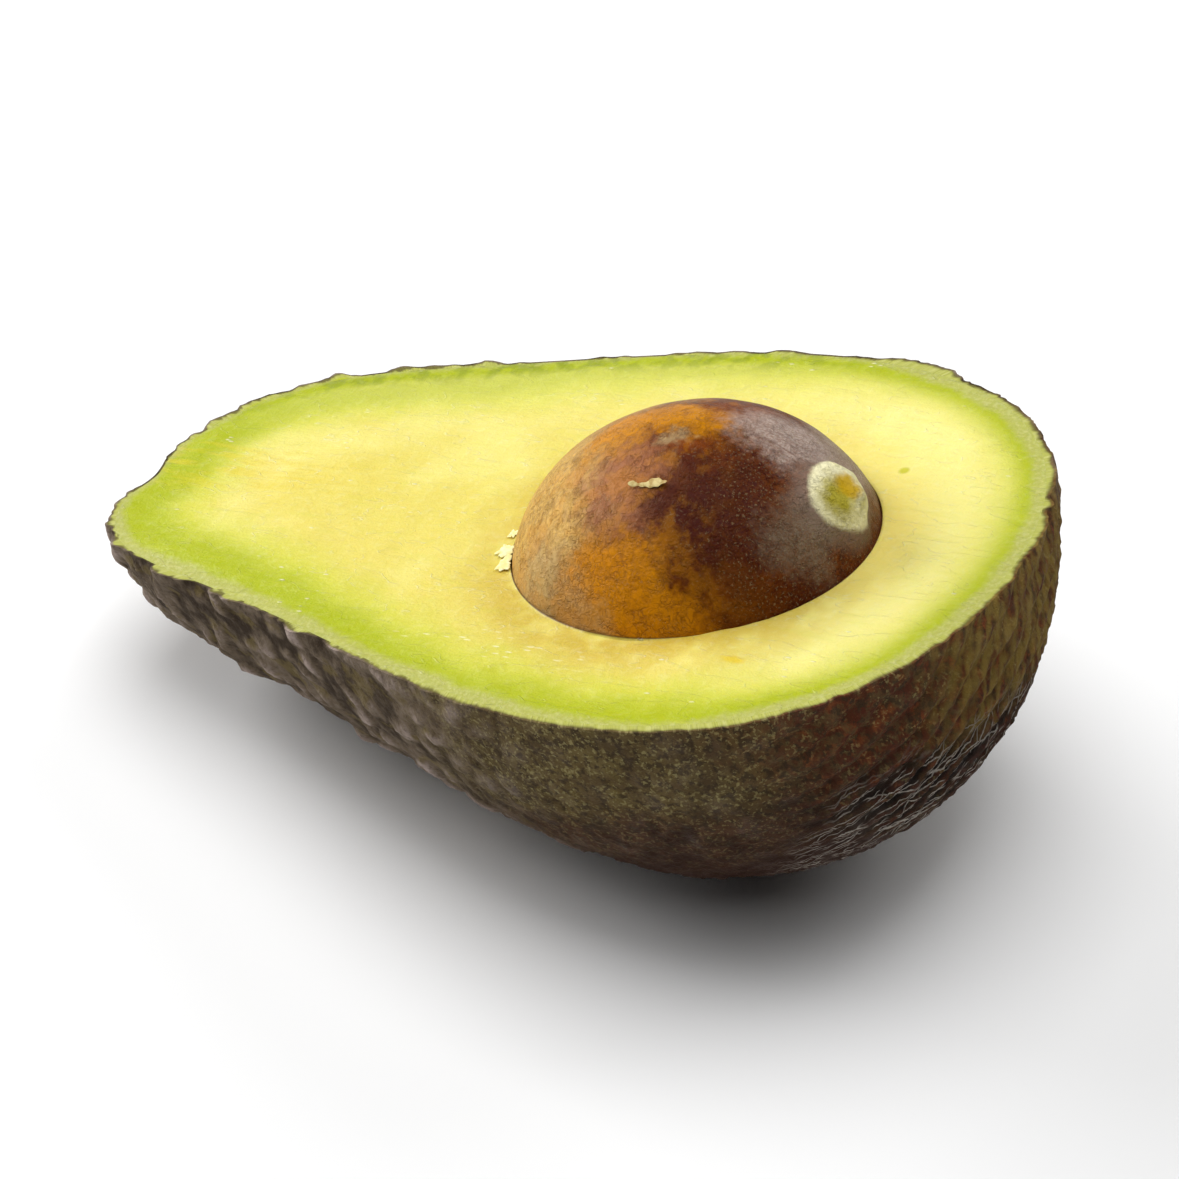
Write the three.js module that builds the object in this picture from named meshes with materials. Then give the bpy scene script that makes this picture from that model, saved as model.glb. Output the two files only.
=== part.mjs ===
// Half of a ripe avocado, cut along its length, with the stone left in the flesh.
//
// Units are millimetres and +Z is up. The half lies on the roundest place of its peel, which
// is pressed into a small flat spot. The origin is the middle of that spot. +X points to the
// blunt end, -X to the narrow stem end, and the cut face looks up, its stem end lower.
//
// Three closed solids: the peel (skin), the flesh with its cut face, and the stone.
//
// All of them are first shaped in the fruit's own frame, in which the cut face is the plane
// z = 0, x runs along the fruit and the half lies below. One turned group then lays it down.

import * as THREE from "three";
import { ParametricGeometry } from "three/addons/geometries/ParametricGeometry.js";
import { mergeGeometries, mergeVertices } from "three/addons/utils/BufferGeometryUtils.js";

// ---- The fruit ------------------------------------------------------------------------

const FRUIT_LENGTH = 100; // stem end to blunt end, as the next two without the relief
const FRUIT_WIDTH = 65.4; // across the cut face at its widest
const HALF_DEPTH = 34; // cut face to the belly, at its deepest
const NECK_BEND = 4.5; // how far the stem end leans to -y
const NECK_BEND_POWER = 6; // a high power keeps the lean near the stem end

// The radius along the fruit is a circle's, times 1 + c1 X + c2 X^2 + c3 X^3 + c4 X^4, where
// X runs from -1 at the stem end to 1 at the blunt end. It gives the pear shape.
const PEAR = [1, 0.42, 0.126, -0.273, 0.21];

const LIE_TILT = THREE.MathUtils.degToRad(13.4); // stem end down, as the half balances
const PRESSED_DEPTH = 0.4; // how much of the belly the flat spot takes

// ---- The peel and its relief -----------------------------------------------------------

const SKIN_THICKNESS = 1;
const MERIDIAN_LENGTH = 127; // stem end to blunt end, measured over the belly
const PEBBLE = { along: 3.8, around: 6.4, height: 0.65, crease: 0.42, channel: 1 };
const SWELLING = { along: 9, around: 15, height: 0.7, crease: 0.7, channel: 2 };
const STEM_DIMPLE = { depth: 1.3, radius: 3.6 };

// ---- The stone -------------------------------------------------------------------------

const STONE_LENGTH = 38.7;
const STONE_WIDTH = 34.6;
const STONE_CENTRE = new THREE.Vector3(15.6, -1.65, -4.65);
const STONE_PITCH = THREE.MathUtils.degToRad(19.6); // blunt end up
const STONE_YAW = THREE.MathUtils.degToRad(6.6); // blunt end to +y
const SCAR = { height: 1.6, radius: 3.4, lift: THREE.MathUtils.degToRad(14.5) };
const HOLLOW_GAP = 0.3; // between the stone and the flesh
const SKIN_GAP = 0.3; // between the flesh and the peel

// ---- How finely each surface is divided -------------------------------------------------

const PEEL_STEPS = 32; // per quarter of the half, as in the next two
const LINING_STEPS = 12;
const HOLLOW_STEPS = 12;
const STONE_DETAIL = 9;

// ---- Shape of the fruit -----------------------------------------------------------------

const pearFactor = (X) => PEAR.reduceRight((sum, c) => sum * X + c, 0);
const pearRadius = (X) => Math.sqrt(Math.max(0, 1 - X * X)) * pearFactor(X);

// Where on [-1, 1] a function is largest, sampled finely enough for a smooth outline.
function peakOf(f, samples = 2000) {
  let peak = -1;
  for (let i = 1; i <= samples; i += 1) {
    const X = -1 + (2 * i) / samples;
    peak = f(X) > f(peak) ? X : peak;
  }
  return peak;
}

const WIDEST = pearRadius(peakOf(pearRadius));

// How far the belly hangs below the middle of the cut face once the half is tilted.
const bellyDrop = (X) => HALF_DEPTH * (pearRadius(X) / WIDEST) * Math.cos(LIE_TILT)
  - (FRUIT_LENGTH / 2) * X * Math.sin(LIE_TILT);

const TOUCH_X = peakOf(bellyDrop);
const REST_HEIGHT = bellyDrop(TOUCH_X) - PRESSED_DEPTH;

// Distance from the stem end to X over the peel, which a circle's arc comes close to.
const distanceAlong = (X) => (MERIDIAN_LENGTH * Math.acos(-X)) / Math.PI;

// How far the shallow pit where the stem was sinks in.
const stemDimple = (X) => STEM_DIMPLE.depth * Math.exp(-((distanceAlong(X) / STEM_DIMPLE.radius) ** 2));

// Height, in the fruit's frame, of the surface that the half lies on, above a given x.
const ground = (x) => -(REST_HEIGHT + x * Math.sin(LIE_TILT)) / Math.cos(LIE_TILT);

// Point of the half for a direction on the lower half of the unit sphere. The inset is how
// far inside the plain outline the point lies. The flat spot presses every layer alike, so
// a point stays as far above the ground as its layer lies inside the peel.
function fruitPoint(direction, inset, layer, target) {
  const { x: X, y: Y, z: Z } = direction;
  const spread = pearFactor(X) / WIDEST;
  const x = (FRUIT_LENGTH / 2 - inset - stemDimple(X)) * X;
  const lean = -NECK_BEND * Math.max(0, -X) ** NECK_BEND_POWER;
  const y = lean + (FRUIT_WIDTH / 2 - inset) * spread * Y;
  const z = (HALF_DEPTH - inset) * spread * Z;
  return target.set(x, y, Math.max(z, ground(x) + layer));
}

// ---- Relief -------------------------------------------------------------------------------

// Repeatable random number in [0, 1) for a cell of a cubic lattice.
function cellRandom(i, j, k, channel) {
  let h = Math.imul(i, 0x8da6b343) ^ Math.imul(j, 0xd8163841) ^ Math.imul(k, 0xcb1ab31f)
    ^ Math.imul(channel, 0x165667b1);
  h = Math.imul(h ^ (h >>> 13), 0x5bd1e995);
  h = Math.imul(h ^ (h >>> 15), 0x27d4eb2d);
  h ^= h >>> 14;
  return (h >>> 0) / 2 ** 32;
}

// Each cell holds one seed point. This is how much further the second nearest seed is than
// the nearest: zero on the line between two pebbles, largest in the middle of one.
function creaseDistance(x, y, z, channel) {
  const [cx, cy, cz] = [Math.floor(x), Math.floor(y), Math.floor(z)];
  let nearest = Infinity;
  let second = Infinity;
  for (let i = cx - 1; i <= cx + 1; i += 1) {
    for (let j = cy - 1; j <= cy + 1; j += 1) {
      for (let k = cz - 1; k <= cz + 1; k += 1) {
        const distance = Math.hypot(
          i + cellRandom(i, j, k, channel) - x,
          j + cellRandom(i, j, k, channel + 10) - y,
          k + cellRandom(i, j, k, channel + 20) - z,
        );
        second = Math.min(second, Math.max(nearest, distance));
        nearest = Math.min(nearest, distance);
      }
    }
  }
  return second - nearest;
}

// Rounded pebbles, each longer around the fruit than along it. The creases between them
// lie a third of the height below the plain outline, the pebbles' tops above it.
function pebbles(along, y, z, size) {
  const distance = creaseDistance(along / size.along, y / size.around, z / size.around, size.channel);
  const rise = Math.min(1, distance / size.crease);
  return size.height * (rise * (2 - rise) - 1 / 3);
}

// Point of the peel's outer side: small pebbles on broad swellings.
function peelPoint(direction, target) {
  const { y, z } = fruitPoint(direction, 0, 0, target);
  const along = distanceAlong(direction.x);
  const relief = pebbles(along, y, z, PEBBLE) + pebbles(along, y, z, SWELLING);
  return fruitPoint(direction, -relief, 0, target);
}

// ---- Surfaces on a half sphere --------------------------------------------------------------

// Direction on one quarter of the lower half of the unit sphere for (p, q) in the unit
// square. (0, 0) is straight down, and the two far sides of the square are the rim.
function quarterDirection(p, q, quarter, target) {
  const ring = Math.max(p, q);
  if (ring === 0) {
    return target.set(0, 0, -1);
  }
  const turn = p >= q ? q / p : 2 - p / q;
  const angle = (Math.PI / 4) * (turn + 2 * quarter);
  const spread = Math.sin((Math.PI / 2) * ring);
  const drop = ring === 1 ? 0 : Math.cos((Math.PI / 2) * ring);
  return target.set(spread * Math.cos(angle), spread * Math.sin(angle), -drop);
}

// The four quarters of a bowl made of the points of a surface over the half sphere. Its
// faces are turned outwards or, for a lining, inwards.
function bowl(surface, steps, lining = false) {
  const direction = new THREE.Vector3();
  return [0, 1, 2, 3].map((quarter) => {
    const point = (u, v, target) => {
      const [p, q] = lining ? [v, 1 - u] : [1 - u, v];
      return surface(quarterDirection(p, q, quarter, direction), target);
    };
    return new ParametricGeometry(point, steps, steps);
  });
}

// The rim of a bowl, as a flat outline in the cut plane.
function rimOutline(surface, steps) {
  const direction = new THREE.Vector3();
  const point = new THREE.Vector3();
  const outline = [];
  for (let i = 0; i < 8 * steps; i += 1) {
    const quarter = Math.floor(i / (2 * steps));
    const place = i - 2 * steps * quarter;
    const p = place <= steps ? 1 : (2 * steps - place) / steps;
    const q = place <= steps ? place / steps : 1;
    surface(quarterDirection(p, q, quarter, direction), point);
    outline.push(new THREE.Vector2(point.x, point.y));
  }
  return outline;
}

// Flat face between two outlines in the cut plane, looking up.
function cutFace(outer, inner) {
  const shape = new THREE.Shape(outer);
  shape.holes.push(new THREE.Path(inner));
  return new THREE.ShapeGeometry(shape);
}

// One closed solid out of surfaces that share their borders.
function closedSolid(surfaces) {
  const bare = surfaces.map((surface) => {
    const geometry = surface.index ? surface.toNonIndexed() : surface;
    geometry.deleteAttribute("normal");
    geometry.deleteAttribute("uv");
    return geometry;
  });
  const solid = mergeVertices(mergeGeometries(bare), 1e-4);
  solid.computeVertexNormals();
  return solid;
}

// ---- The three pieces -----------------------------------------------------------------------

// Smooth surface a given depth inside the peel's plain outline.
const layerAt = (depth) => (direction, target) => fruitPoint(direction, depth, depth, target);

const skinLining = layerAt(SKIN_THICKNESS);
const fleshSide = layerAt(SKIN_THICKNESS + SKIN_GAP);

function skinGeometry() {
  return closedSolid([
    ...bowl(peelPoint, PEEL_STEPS),
    ...bowl(skinLining, LINING_STEPS, true),
    cutFace(rimOutline(peelPoint, PEEL_STEPS), rimOutline(skinLining, LINING_STEPS)),
  ]);
}

// Turns a direction of the fruit's frame into the stone's, whose x axis is its long axis.
const STONE_TURN = new THREE.Quaternion().setFromEuler(new THREE.Euler(0, -STONE_PITCH, STONE_YAW, "ZYX"));
const TO_STONE = STONE_TURN.clone().invert();

// Point of the hollow: where a ray in the given direction, from the place in the cut plane
// right above the stone's middle, meets the stone's ovoid widened by the gap.
function hollowPoint(direction, target) {
  const radii = new THREE.Vector3(STONE_LENGTH / 2, STONE_WIDTH / 2, STONE_WIDTH / 2).addScalar(HOLLOW_GAP);
  const start = new THREE.Vector3(STONE_CENTRE.x, STONE_CENTRE.y, 0);
  const from = start.clone().sub(STONE_CENTRE).applyQuaternion(TO_STONE).divide(radii);
  const step = direction.clone().applyQuaternion(TO_STONE).divide(radii);
  const a = step.dot(step);
  const b = from.dot(step);
  const c = from.dot(from) - 1;
  const distance = (-b + Math.sqrt(b * b - a * c)) / a;
  return target.copy(direction).multiplyScalar(distance).add(start);
}

function fleshGeometry() {
  return closedSolid([
    ...bowl(fleshSide, LINING_STEPS),
    ...bowl(hollowPoint, HOLLOW_STEPS, true),
    cutFace(rimOutline(fleshSide, LINING_STEPS), rimOutline(hollowPoint, HOLLOW_STEPS)),
  ]);
}

// An ovoid with a low round button at its upper blunt end, where it hung in the fruit.
function stoneGeometry() {
  const stone = closedSolid([new THREE.IcosahedronGeometry(1, STONE_DETAIL)]);
  const scarMiddle = new THREE.Vector3(
    Math.cos(SCAR.lift) * (STONE_LENGTH / 2),
    0,
    Math.sin(SCAR.lift) * (STONE_WIDTH / 2),
  );
  const point = new THREE.Vector3();
  const positions = stone.getAttribute("position");
  for (let i = 0; i < positions.count; i += 1) {
    point.fromBufferAttribute(positions, i);
    const outward = point.clone();
    point.multiply(new THREE.Vector3(STONE_LENGTH / 2, STONE_WIDTH / 2, STONE_WIDTH / 2));
    const reach = point.distanceTo(scarMiddle) / SCAR.radius;
    point.addScaledVector(outward, SCAR.height * Math.exp(-(reach ** 4)));
    positions.setXYZ(i, point.x, point.y, point.z);
  }
  stone.computeVertexNormals();
  return stone;
}

// ---- The half, laid down ----------------------------------------------------------------------

function namedMesh(name, geometry, look) {
  const mesh = new THREE.Mesh(geometry, new THREE.MeshStandardMaterial({ metalness: 0, ...look }));
  mesh.name = name;
  return mesh;
}

const skin = namedMesh("skin", skinGeometry(), { color: 0x3a302c, roughness: 0.62 });
const flesh = namedMesh("flesh", fleshGeometry(), { color: 0xe9e06a, roughness: 0.42 });
const stone = namedMesh("stone", stoneGeometry(), { color: 0x6e3413, roughness: 0.33 });
stone.position.copy(STONE_CENTRE);
stone.quaternion.copy(STONE_TURN);

const touchDepth = (HALF_DEPTH * pearRadius(TOUCH_X)) / WIDEST;
const half = new THREE.Group();
half.add(skin, flesh, stone);
half.rotation.y = -LIE_TILT;
half.position.x = -(FRUIT_LENGTH / 2) * TOUCH_X * Math.cos(LIE_TILT) - touchDepth * Math.sin(LIE_TILT);
half.position.z = REST_HEIGHT;

const avocado = new THREE.Group();
avocado.add(half);

export default avocado;
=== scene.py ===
"""Looks of an avocado half with its stone: peel, flesh and seed as fine meshes with layered finishes.

Sizes are in millimetres in the fruit's own frame, where the cut face is the plane z = 0, x runs from the
stem end (negative) to the blunt end and the half lies below. Everything is laid down into the row frame,
in metres, as the last step of building a mesh.
"""

import logging
import math
from dataclasses import dataclass
from enum import Enum
from typing import Optional, Sequence, Union

import bpy
import numpy as np
from mathutils import Matrix, Vector

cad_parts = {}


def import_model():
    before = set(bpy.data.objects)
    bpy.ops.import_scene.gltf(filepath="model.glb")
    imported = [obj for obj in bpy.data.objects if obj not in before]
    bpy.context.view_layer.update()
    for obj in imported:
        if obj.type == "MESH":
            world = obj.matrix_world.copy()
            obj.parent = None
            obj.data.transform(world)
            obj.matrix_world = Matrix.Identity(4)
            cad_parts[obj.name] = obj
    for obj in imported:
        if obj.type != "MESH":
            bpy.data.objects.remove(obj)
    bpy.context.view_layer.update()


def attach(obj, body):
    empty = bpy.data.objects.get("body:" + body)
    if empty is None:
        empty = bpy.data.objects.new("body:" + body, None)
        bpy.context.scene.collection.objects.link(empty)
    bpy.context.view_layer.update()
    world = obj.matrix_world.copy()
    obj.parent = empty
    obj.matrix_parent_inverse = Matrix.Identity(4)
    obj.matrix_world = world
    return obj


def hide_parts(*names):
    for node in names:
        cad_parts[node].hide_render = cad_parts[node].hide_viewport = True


log = logging.getLogger("avocado")
logging.basicConfig(level=logging.INFO, format="%(message)s")

MM = 0.001
SHARP_ANGLE = math.radians(50)

Array = np.ndarray
Triple = tuple[float, float, float]
Colour = Triple
Pair = tuple[float, float]
Number = Union[float, int, "Signal"]
Tint = Union[Colour, "Signal"]


# ---- Repeatable randomness and relief ----------------------------------------


def cell_random(i: Array, j: Array, k: Array, channel: int) -> Array:
    """Random number in [0, 1) for each cell of a cubic lattice, always the same for the same cell.

    The three cell numbers are multiplied by large odd numbers, mixed bit by bit, and scaled to one.

    Args:
        i, j, k: whole cell numbers.
        channel: picks one of many independent sets of numbers.
    Returns:
        One number for each cell.
    """
    spread = [np.uint32(0x8DA6B343), np.uint32(0xD8163841), np.uint32(0xCB1AB31F)]
    h = np.full(np.shape(i), (channel * 0x165667B1) & 0xFFFFFFFF, np.uint32)
    for cell, factor in zip((i, j, k), spread):
        h ^= cell.astype(np.int64).astype(np.uint32) * factor
    h = (h ^ (h >> np.uint32(13))) * np.uint32(0x5BD1E995)
    h = (h ^ (h >> np.uint32(15))) * np.uint32(0x27D4EB2D)
    h ^= h >> np.uint32(14)
    return h.astype(np.float64) / 2.0**32


def crease_distance(place: Array, channel: int) -> Array:
    """How much further the second nearest seed point is than the nearest.

    Each unit cell holds one seed. The value is zero on the line between two seeds and largest close to one.

    Args:
        place: points in cell units, shape (..., 3).
        channel: which set of seeds.
    Returns:
        The distance for each point.
    """
    base = np.floor(place).astype(np.int64)
    nearest = np.full(place.shape[:-1], np.inf)
    second = nearest.copy()
    for step in np.ndindex(3, 3, 3):
        cell = base + np.array(step) - 1
        i, j, k = cell[..., 0], cell[..., 1], cell[..., 2]
        seed = cell + np.stack([cell_random(i, j, k, channel + turn) for turn in (0, 10, 20)], axis=-1)
        distance = np.linalg.norm(seed - place, axis=-1)
        second = np.minimum(second, np.maximum(nearest, distance))
        nearest = np.minimum(nearest, distance)
    return second - nearest


def soft_noise(place: Array, channel: int) -> Array:
    """Smooth random height between -1 and 1: lattice values joined by an eased blend along each axis.

    Args:
        place: points in cell units, shape (..., 3).
        channel: which set of lattice values.
    Returns:
        The height for each point.
    """
    base = np.floor(place).astype(np.int64)
    part = place - base
    ease = part * part * (3.0 - 2.0 * part)
    total = np.zeros(place.shape[:-1])
    for corner in np.ndindex(2, 2, 2):
        cell = base + np.array(corner)
        share = np.prod(np.where(np.array(corner) == 1, ease, 1.0 - ease), axis=-1)
        total += share * cell_random(cell[..., 0], cell[..., 1], cell[..., 2], channel)
    return 2.0 * total - 1.0


@dataclass(frozen=True)
class Ripple:
    """Soft random relief of a given height, whose features have one size, or one for each axis."""

    height: float
    size: Union[float, Triple]
    channel: int

    def at(self, place: Array) -> Array:
        """The relief at each place, from minus to plus the height."""
        return self.height * soft_noise(place / np.array(self.size), self.channel)


def rippled(ripples: Sequence[Ripple], place: Array) -> Array:
    """The sum of some ripples at each place."""
    return sum(ripple.at(place) for ripple in ripples)


def ramp(value: Array, low: float, high: float) -> Array:
    """Eased step from 0 at low to 1 at high."""
    t = np.clip((value - low) / (high - low), 0.0, 1.0)
    return t * t * (3.0 - 2.0 * t)


# ---- Meshes from grids -------------------------------------------------------


class Turned(Enum):
    """Which side of a grid its faces look to."""

    AS_COUNTED = 1
    OVER = -1


def ring_faces(rings: int, columns: int, turned: Turned) -> Array:
    """Four-sided faces between the rings of a grid whose last column joins its first.

    Args:
        rings, columns: how many rings of how many points.
        turned: which side the faces look to.
    Returns:
        Corner numbers, shape (faces, 4).
    """
    ring, column = np.meshgrid(np.arange(rings - 1), np.arange(columns), indexing="ij")
    following = (column + 1) % columns
    corners = np.stack(
        [
            ring * columns + column,
            ring * columns + following,
            (ring + 1) * columns + following,
            (ring + 1) * columns + column,
        ],
        axis=-1,
    ).reshape(-1, 4)
    return corners if turned is Turned.AS_COUNTED else corners[:, ::-1]


def mesh_object(
    name: str, points: Array, quads: Array, triangles: Array, values: dict[str, Array]
) -> bpy.types.Object:
    """Puts arrays of points and faces into a mesh object, whose edges stay sharp where they bend steeply.

    Args:
        name: the object's name.
        points: positions in metres, shape (points, 3).
        quads, triangles: corner numbers of the faces.
        values: one number or one triple for each point, by name.
    Returns:
        The object, linked to the scene, at the origin.
    """
    mesh = bpy.data.meshes.new(name)
    mesh.vertices.add(len(points))
    mesh.vertices.foreach_set("co", points.astype(np.float32).ravel())
    corners = np.concatenate([quads.ravel(), triangles.ravel()]).astype(np.int32)
    sizes = np.concatenate([np.full(len(quads), 4), np.full(len(triangles), 3)])
    mesh.loops.add(len(corners))
    mesh.loops.foreach_set("vertex_index", corners)
    mesh.polygons.add(len(sizes))
    starts = np.concatenate([[0], np.cumsum(sizes)[:-1]]).astype(np.int32)
    mesh.polygons.foreach_set("loop_start", starts)
    mesh.polygons.foreach_set("use_smooth", np.ones(len(sizes), bool))
    mesh.update(calc_edges=True)
    for key, value in values.items():
        kind, slot = ("FLOAT_VECTOR", "vector") if value.ndim == 2 else ("FLOAT", "value")
        attribute = mesh.attributes.new(key, kind, "POINT")
        attribute.data.foreach_set(slot, value.astype(np.float32).ravel())
    mesh.validate()
    mesh.set_sharp_from_angle(angle=SHARP_ANGLE)
    piece = bpy.data.objects.new(name, mesh)
    bpy.context.scene.collection.objects.link(piece)
    return piece


def closed_object(
    name: str, rings: Array, values: dict[str, Array], turned: Turned = Turned.AS_COUNTED
) -> bpy.types.Object:
    """Closed body from rings of points that start and end in a single point each.

    The rings between are joined by four-sided faces, and each end by a fan of triangles around its point.

    Args:
        name: the object's name.
        rings: positions in metres, shape (rings, columns, 3). All points of the first ring coincide, and so
            do those of the last.
        values: one number or triple for each of those points, by name.
        turned: which side the faces look to.
    Returns:
        The object.
    """
    count, columns = rings.shape[:2]
    inner = rings[1:-1].reshape(-1, 3)
    points = np.concatenate([inner, rings[:1, 0], rings[-1:, 0]])
    first, last = len(inner), len(inner) + 1
    quads = ring_faces(count - 2, columns, turned)
    here = np.arange(columns)
    following = (here + 1) % columns
    end = (count - 3) * columns
    fans = np.concatenate(
        [
            np.stack([np.full(columns, first), following, here], axis=-1),
            np.stack([np.full(columns, last), end + here, end + following], axis=-1),
        ]
    )
    fans = fans if turned is Turned.AS_COUNTED else fans[:, ::-1]
    kept = {
        key: np.concatenate([value[1:-1].reshape(len(inner), *value.shape[2:]), value[:1, 0], value[-1:, 0]])
        for key, value in values.items()
    }
    return mesh_object(name, points, quads, fans, kept)


# ---- Shader maths ------------------------------------------------------------


class Signal:
    """The value that one output socket carries, with arithmetic that adds Math nodes."""

    def __init__(self, sheet: "NodeSheet", socket: bpy.types.NodeSocket) -> None:
        """Keeps the socket and the sheet of nodes that it is on."""
        self.sheet = sheet
        self.socket = socket

    def __add__(self, other: Number) -> "Signal":
        """This plus other."""
        return self.sheet.maths("ADD", self, other)

    def __radd__(self, other: Number) -> "Signal":
        """Other plus this."""
        return self.sheet.maths("ADD", other, self)

    def __sub__(self, other: Number) -> "Signal":
        """This less other."""
        return self.sheet.maths("SUBTRACT", self, other)

    def __rsub__(self, other: Number) -> "Signal":
        """Other less this."""
        return self.sheet.maths("SUBTRACT", other, self)

    def __mul__(self, other: Number) -> "Signal":
        """This times other."""
        return self.sheet.maths("MULTIPLY", self, other)

    def __rmul__(self, other: Number) -> "Signal":
        """Other times this."""
        return self.sheet.maths("MULTIPLY", other, self)

    def __truediv__(self, other: Number) -> "Signal":
        """This divided by other."""
        return self.sheet.maths("DIVIDE", self, other)

    def at_most(self, other: Number) -> "Signal":
        """The smaller of this and other."""
        return self.sheet.maths("MINIMUM", self, other)

    def at_least(self, other: Number) -> "Signal":
        """The larger of this and other."""
        return self.sheet.maths("MAXIMUM", self, other)

    def eased(self, low: Number, high: Number) -> "Signal":
        """Eased step from 0 where this is low to 1 where it is high.

        Args:
            low, high: where the step begins and ends.
        Returns:
            The step's signal.
        """
        settings = {"interpolation_type": "SMOOTHSTEP"}
        inputs = {"Value": self, "From Min": low, "From Max": high}
        return self.sheet.node("ShaderNodeMapRange", settings, inputs)


class NodeSheet:
    """The nodes of one material or world, added one by one and linked as they are named."""

    def __init__(self, owner: Union[bpy.types.Material, bpy.types.World]) -> None:
        """Empties the owner's node tree.

        Args:
            owner: the material or world that the nodes belong to.
        """
        owner.use_nodes = True
        self.owner = owner
        self.tree = owner.node_tree
        self.tree.nodes.clear()

    def node(
        self,
        kind: str,
        settings: Optional[dict[str, object]] = None,
        inputs: Optional[dict[str, object]] = None,
        output: Optional[str] = None,
    ) -> Signal:
        """Adds a node.

        Args:
            kind: the node's type.
            settings: its own settings, which are set first.
            inputs: a value, a colour or a signal for each named input socket.
            output: the output socket wanted, by name or identifier. The first one if left out.
        Returns:
            The signal of that output.
        """
        made = self.tree.nodes.new(kind)
        for key, value in (settings or {}).items():
            setattr(made, key, value)
        for key, value in (inputs or {}).items():
            self._feed(self._socket(made.inputs, key), value)
        wanted = self._socket(made.outputs, output) if output else made.outputs[0] if made.outputs else None
        return Signal(self, wanted)

    @staticmethod
    def _socket(sockets: Sequence[bpy.types.NodeSocket], key: str) -> bpy.types.NodeSocket:
        """The socket with that identifier or, failing that, that name.

        Args:
            sockets: a node's inputs or outputs.
            key: the identifier or name.
        Returns:
            The socket.
        """
        for socket in sockets:
            if socket.identifier == key:
                return socket
        return sockets[key]

    def _feed(self, socket: bpy.types.NodeSocket, value: object) -> None:
        """Links a signal to a socket, or sets the socket's own value.

        Args:
            socket: the input to feed.
            value: a signal, a colour or a plain value.
        """
        if isinstance(value, Signal):
            self.tree.links.new(value.socket, socket)
        elif socket.type == "RGBA":
            socket.default_value = (*value, 1.0)
        else:
            socket.default_value = value

    def maths(self, operation: str, first: Number, second: Number = 0.0) -> Signal:
        """Adds a Math node for one or two numbers."""
        return self.node("ShaderNodeMath", {"operation": operation}, {"Value": first, "Value_001": second})

    def attribute(self, name: str, output: str = "Fac") -> Signal:
        """The piece's own value of that name."""
        return self.node("ShaderNodeAttribute", {"attribute_name": name}, output=output)

    def place_mm(self) -> Signal:
        """The piece's own coordinates, in millimetres."""
        place = self.node("ShaderNodeTexCoord", output="Object")
        return self.scaled(place, (1.0 / MM, 1.0 / MM, 1.0 / MM))

    def vectors(self, operation: str, first: Signal, second: Tint, output: str = "Vector") -> Signal:
        """Adds a Vector Math node for two vectors."""
        inputs = {"Vector": first, "Vector_001": second}
        return self.node("ShaderNodeVectorMath", {"operation": operation}, inputs, output)

    def scaled(self, place: Signal, factors: Triple) -> Signal:
        """A vector with each part multiplied by its own factor."""
        return self.vectors("MULTIPLY", place, factors)

    def moved(self, place: Signal, offset: Signal) -> Signal:
        """The sum of two vectors."""
        return self.vectors("ADD", place, offset)

    def distance(self, place: Signal, centre: Triple) -> Signal:
        """How far a vector is from a fixed one."""
        return self.vectors("DISTANCE", place, centre, "Value")

    def near(self, place: Signal, centre: Triple, inner: float, outer: float) -> Signal:
        """1 closer to a fixed place than the inner distance, eased to 0 at the outer one."""
        return 1.0 - self.distance(place, centre).eased(inner, outer)

    def noise(self, place: Signal, size: float, detail: float = 2.0, roughness: float = 0.5) -> Signal:
        """Soft random value around one half, with features of a given size in the place's units."""
        inputs = {"Vector": place, "Scale": 1.0 / size, "Detail": detail, "Roughness": roughness}
        return self.node("ShaderNodeTexNoise", None, inputs, output="Fac")

    def noise_vector(self, place: Signal, size: float, amount: float, detail: float = 2.0) -> Signal:
        """Random offset of up to about half the amount each way.

        Args:
            place: the vector that the noise reads.
            size: the size of its features, in the place's units.
            amount: the offset's whole range.
            detail: how many finer layers are added.
        Returns:
            The offset vector.
        """
        inputs = {"Vector": place, "Scale": 1.0 / size, "Detail": detail}
        colour = self.node("ShaderNodeTexNoise", None, inputs, output="Color")
        return self.scaled(self.vectors("SUBTRACT", colour, (0.5, 0.5, 0.5)), (amount, amount, amount))

    def part(self, place: Signal, axis: str) -> Signal:
        """One part of a vector, X, Y or Z."""
        return self.node("ShaderNodeSeparateXYZ", None, {"Vector": place}, output=axis)

    def threads(self, phase: Signal, width: Number) -> Signal:
        """Thin lines where the phase passes a whole number, as wide as a share of their spacing."""
        away = self.maths("ABSOLUTE", self.maths("FRACT", phase) - 0.5)
        return 1.0 - away.eased(0.0, width)

    def web(self, place: Signal, size: float, width: float, detail: float = 2.0) -> Signal:
        """Crossing lines where soft noise passes one half."""
        away = self.maths("ABSOLUTE", self.noise(place, size, detail) - 0.5)
        return 1.0 - away.eased(0.0, width)

    def dots(self, place: Signal, spacing: float) -> Signal:
        """Distance to the nearest of scattered points, in units of their spacing."""
        inputs = {"Vector": place, "Scale": 1.0 / spacing, "Randomness": 1.0}
        return self.node("ShaderNodeTexVoronoi", {"feature": "F1"}, inputs, output="Distance")

    def mix(self, factor: Number, first: Tint, second: Tint) -> Signal:
        """First colour where the factor is 0, second where it is 1.

        Args:
            factor: the second colour's share.
            first, second: the colours.
        Returns:
            The mixed colour.
        """
        settings = {"data_type": "RGBA", "clamp_factor": True}
        inputs = {"Factor_Float": factor, "A_Color": first, "B_Color": second}
        return self.node("ShaderNodeMix", settings, inputs, output="Result_Color")

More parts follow.
